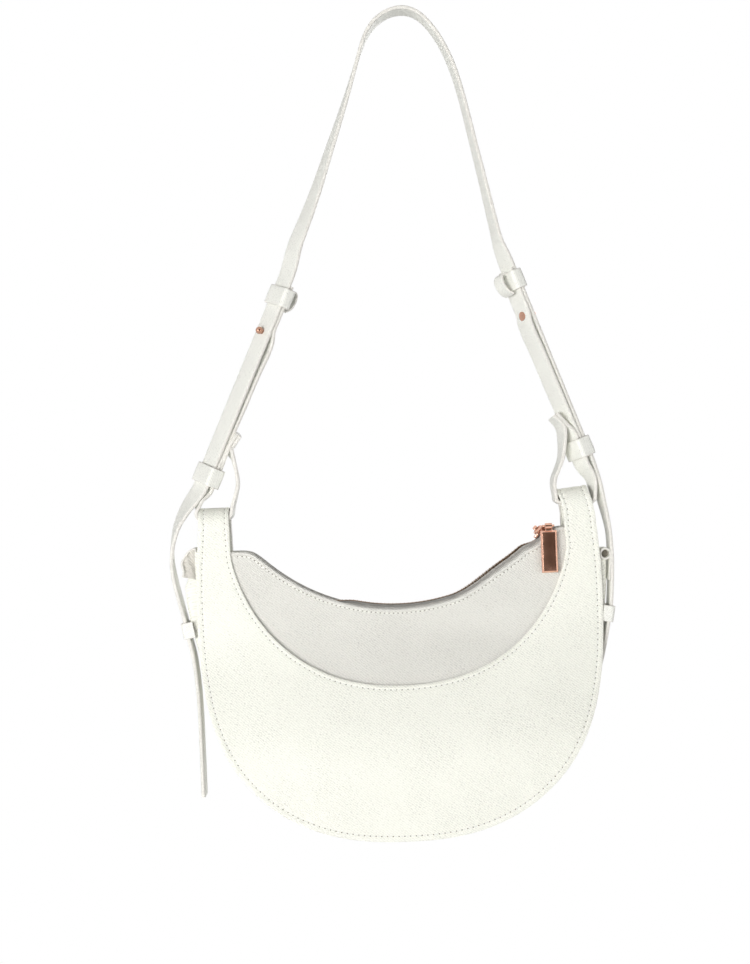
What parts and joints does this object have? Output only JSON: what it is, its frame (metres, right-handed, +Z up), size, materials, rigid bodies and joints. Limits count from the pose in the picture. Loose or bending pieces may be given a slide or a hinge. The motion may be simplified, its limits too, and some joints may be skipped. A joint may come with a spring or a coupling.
{
  "type": "half moon shoulder bag",
  "caption": "Half moon shoulder bag with a scooped overlay, a curved zip closure and a long adjustable strap, shown hanging from its strap.",
  "frame": {"origin": "the point under the strap at its top where the bag hangs", "axes": "+X to the bag's right as seen from the front, +Y to the back, +Z up"},
  "size_m": [0.2711, 0.068, 0.5022],
  "materials": {
    "white_leather": "fine cross-grained, satin",
    "rose_gold": "polished rose gold plating",
    "tooth_metal": "dark bronze",
    "zip_tape": "woven, matt",
    "lining_cloth": "woven, matt",
    "interlining": "felted, matt",
    "board": "matt"
  },
  "bodies": {
    "strap": {"shoulder_strap": "white_leather", "hanger_left": "white_leather", "hanger_right": "white_leather", "loop_left": "white_leather", "loop_right": "white_leather", "strap_studs": "rose_gold"},
    "upper_left_keeper": {"keeper_upper_left": "white_leather"},
    "lower_left_keeper": {"keeper_lower_left": "white_leather"},
    "upper_right_keeper": {"keeper_upper_right": "white_leather"},
    "lower_right_keeper": {"keeper_lower_right": "white_leather"},
    "bag": {"front_overlay": "white_leather", "back_overlay": "white_leather", "front_panel": "white_leather", "back_panel": "white_leather", "gusset": "white_leather", "front_interlining": "interlining", "back_interlining": "interlining", "lining": "lining_cloth", "inner_pocket": "lining_cloth", "base_stiffener": "board", "tail_loop_left": "white_leather", "tail_loop_right": "white_leather", "zip_tape_front": "zip_tape", "zip_tape_back": "zip_tape", "zip_teeth_front": "tooth_metal", "zip_teeth_back": "tooth_metal", "zip_stops": "tooth_metal", "strap_tail_left": "white_leather", "strap_tail_right": "white_leather"},
    "slider": {"zip_slider": "rose_gold"},
    "link": {"puller_link": "rose_gold"},
    "tab": {"pull_tab": "rose_gold"}
  },
  "joints": [
    {"name": "bag_swing", "type": "hinge", "parent": "strap", "child": "bag", "pos_m": [-0.014, 0, -0.3111], "axis": [1, 0, 0], "range_deg": [-90, 90], "deforming": ["strap_tail_left", "strap_tail_right"]},
    {"name": "upper_left_keeper_slide", "type": "slide", "parent": "strap", "child": "upper_left_keeper", "axis": [0.4163, 0, 0.9092], "range_m": [-0.012, 0.006]},
    {"name": "lower_left_keeper_slide", "type": "slide", "parent": "strap", "child": "lower_left_keeper", "axis": [0.4163, 0, 0.9092], "range_m": [-0.002, 0.002]},
    {"name": "upper_right_keeper_slide", "type": "slide", "parent": "strap", "child": "upper_right_keeper", "axis": [-0.3404, 0, 0.9403], "range_m": [-0.012, 0.006]},
    {"name": "lower_right_keeper_slide", "type": "slide", "parent": "strap", "child": "lower_right_keeper", "axis": [-0.3404, 0, 0.9403], "range_m": [-0.002, 0.002]},
    {"name": "zip_run", "type": "hinge", "parent": "bag", "child": "slider", "pos_m": [-0.014, 0, -0.243], "axis": [0, 1, 0], "range_deg": [0, 96], "deforming": ["zip_teeth_front", "zip_teeth_back"]},
    {"name": "link_flop", "type": "hinge", "parent": "slider", "child": "link", "pos_m": [0.0719, 0, -0.31976], "axis": [0.6663, 0, 0.7457], "range_deg": [-150, 0]},
    {"name": "tab_swing", "type": "hinge", "parent": "link", "child": "tab", "pos_m": [0.0775, -0.0124, -0.31746], "axis": [1, 0, 0], "range_deg": [-110, 0]}
  ]
}
